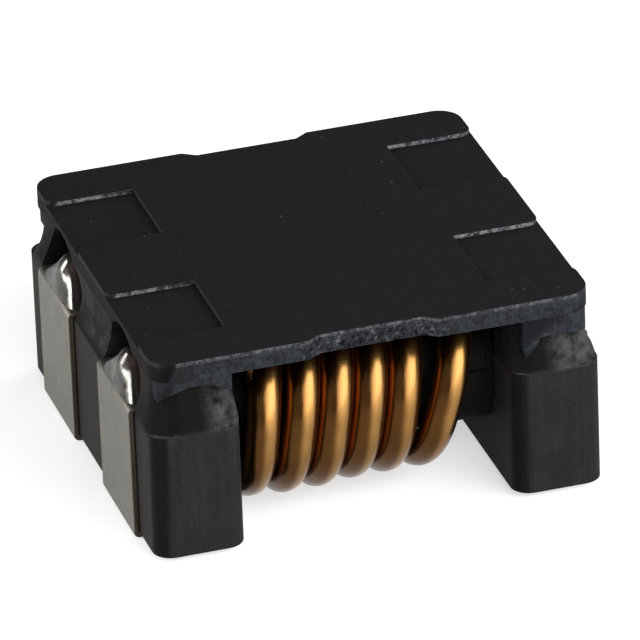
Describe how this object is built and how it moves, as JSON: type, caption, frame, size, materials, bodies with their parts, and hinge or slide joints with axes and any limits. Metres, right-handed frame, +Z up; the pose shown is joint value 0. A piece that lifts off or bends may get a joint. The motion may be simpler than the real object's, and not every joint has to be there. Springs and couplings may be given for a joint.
{
  "type": "smd common mode choke",
  "caption": "Surface-mount common mode choke: a ferrite drum core under a bonded ferrite plate, with two windings side by side on its post and clip terminals at the corners.",
  "frame": {"origin": "on the board's surface, under the middle of the part", "axes": "+X along the post from the left flange to the right, +Y to the back, +Z up from the board"},
  "size_m": [0.012, 0.0114, 0.0054],
  "materials": {
    "ferrite": "matt pressed and fired ferrite, dark grey",
    "plate_ferrite": "matt ground ferrite, near black, rough at its edges",
    "adhesive": "cured grey adhesive with a soft sheen",
    "enamelled_wire": "copper wire under clear amber enamel, glossy, tinned at its ends",
    "tinned_strip": "matt tin plating on copper alloy strip",
    "solder": "bright reflowed solder"
  },
  "bodies": {
    "root": {"drum_core": "ferrite", "top_plate": "plate_ferrite", "bond": "adhesive", "winding_a": "enamelled_wire", "winding_b": "enamelled_wire", "terminal_front_left": "tinned_strip", "terminal_front_right": "tinned_strip", "terminal_back_left": "tinned_strip", "terminal_back_right": "tinned_strip", "solder_front_left": "solder", "solder_front_right": "solder", "solder_back_left": "solder", "solder_back_right": "solder"}
  },
  "joints": []
}
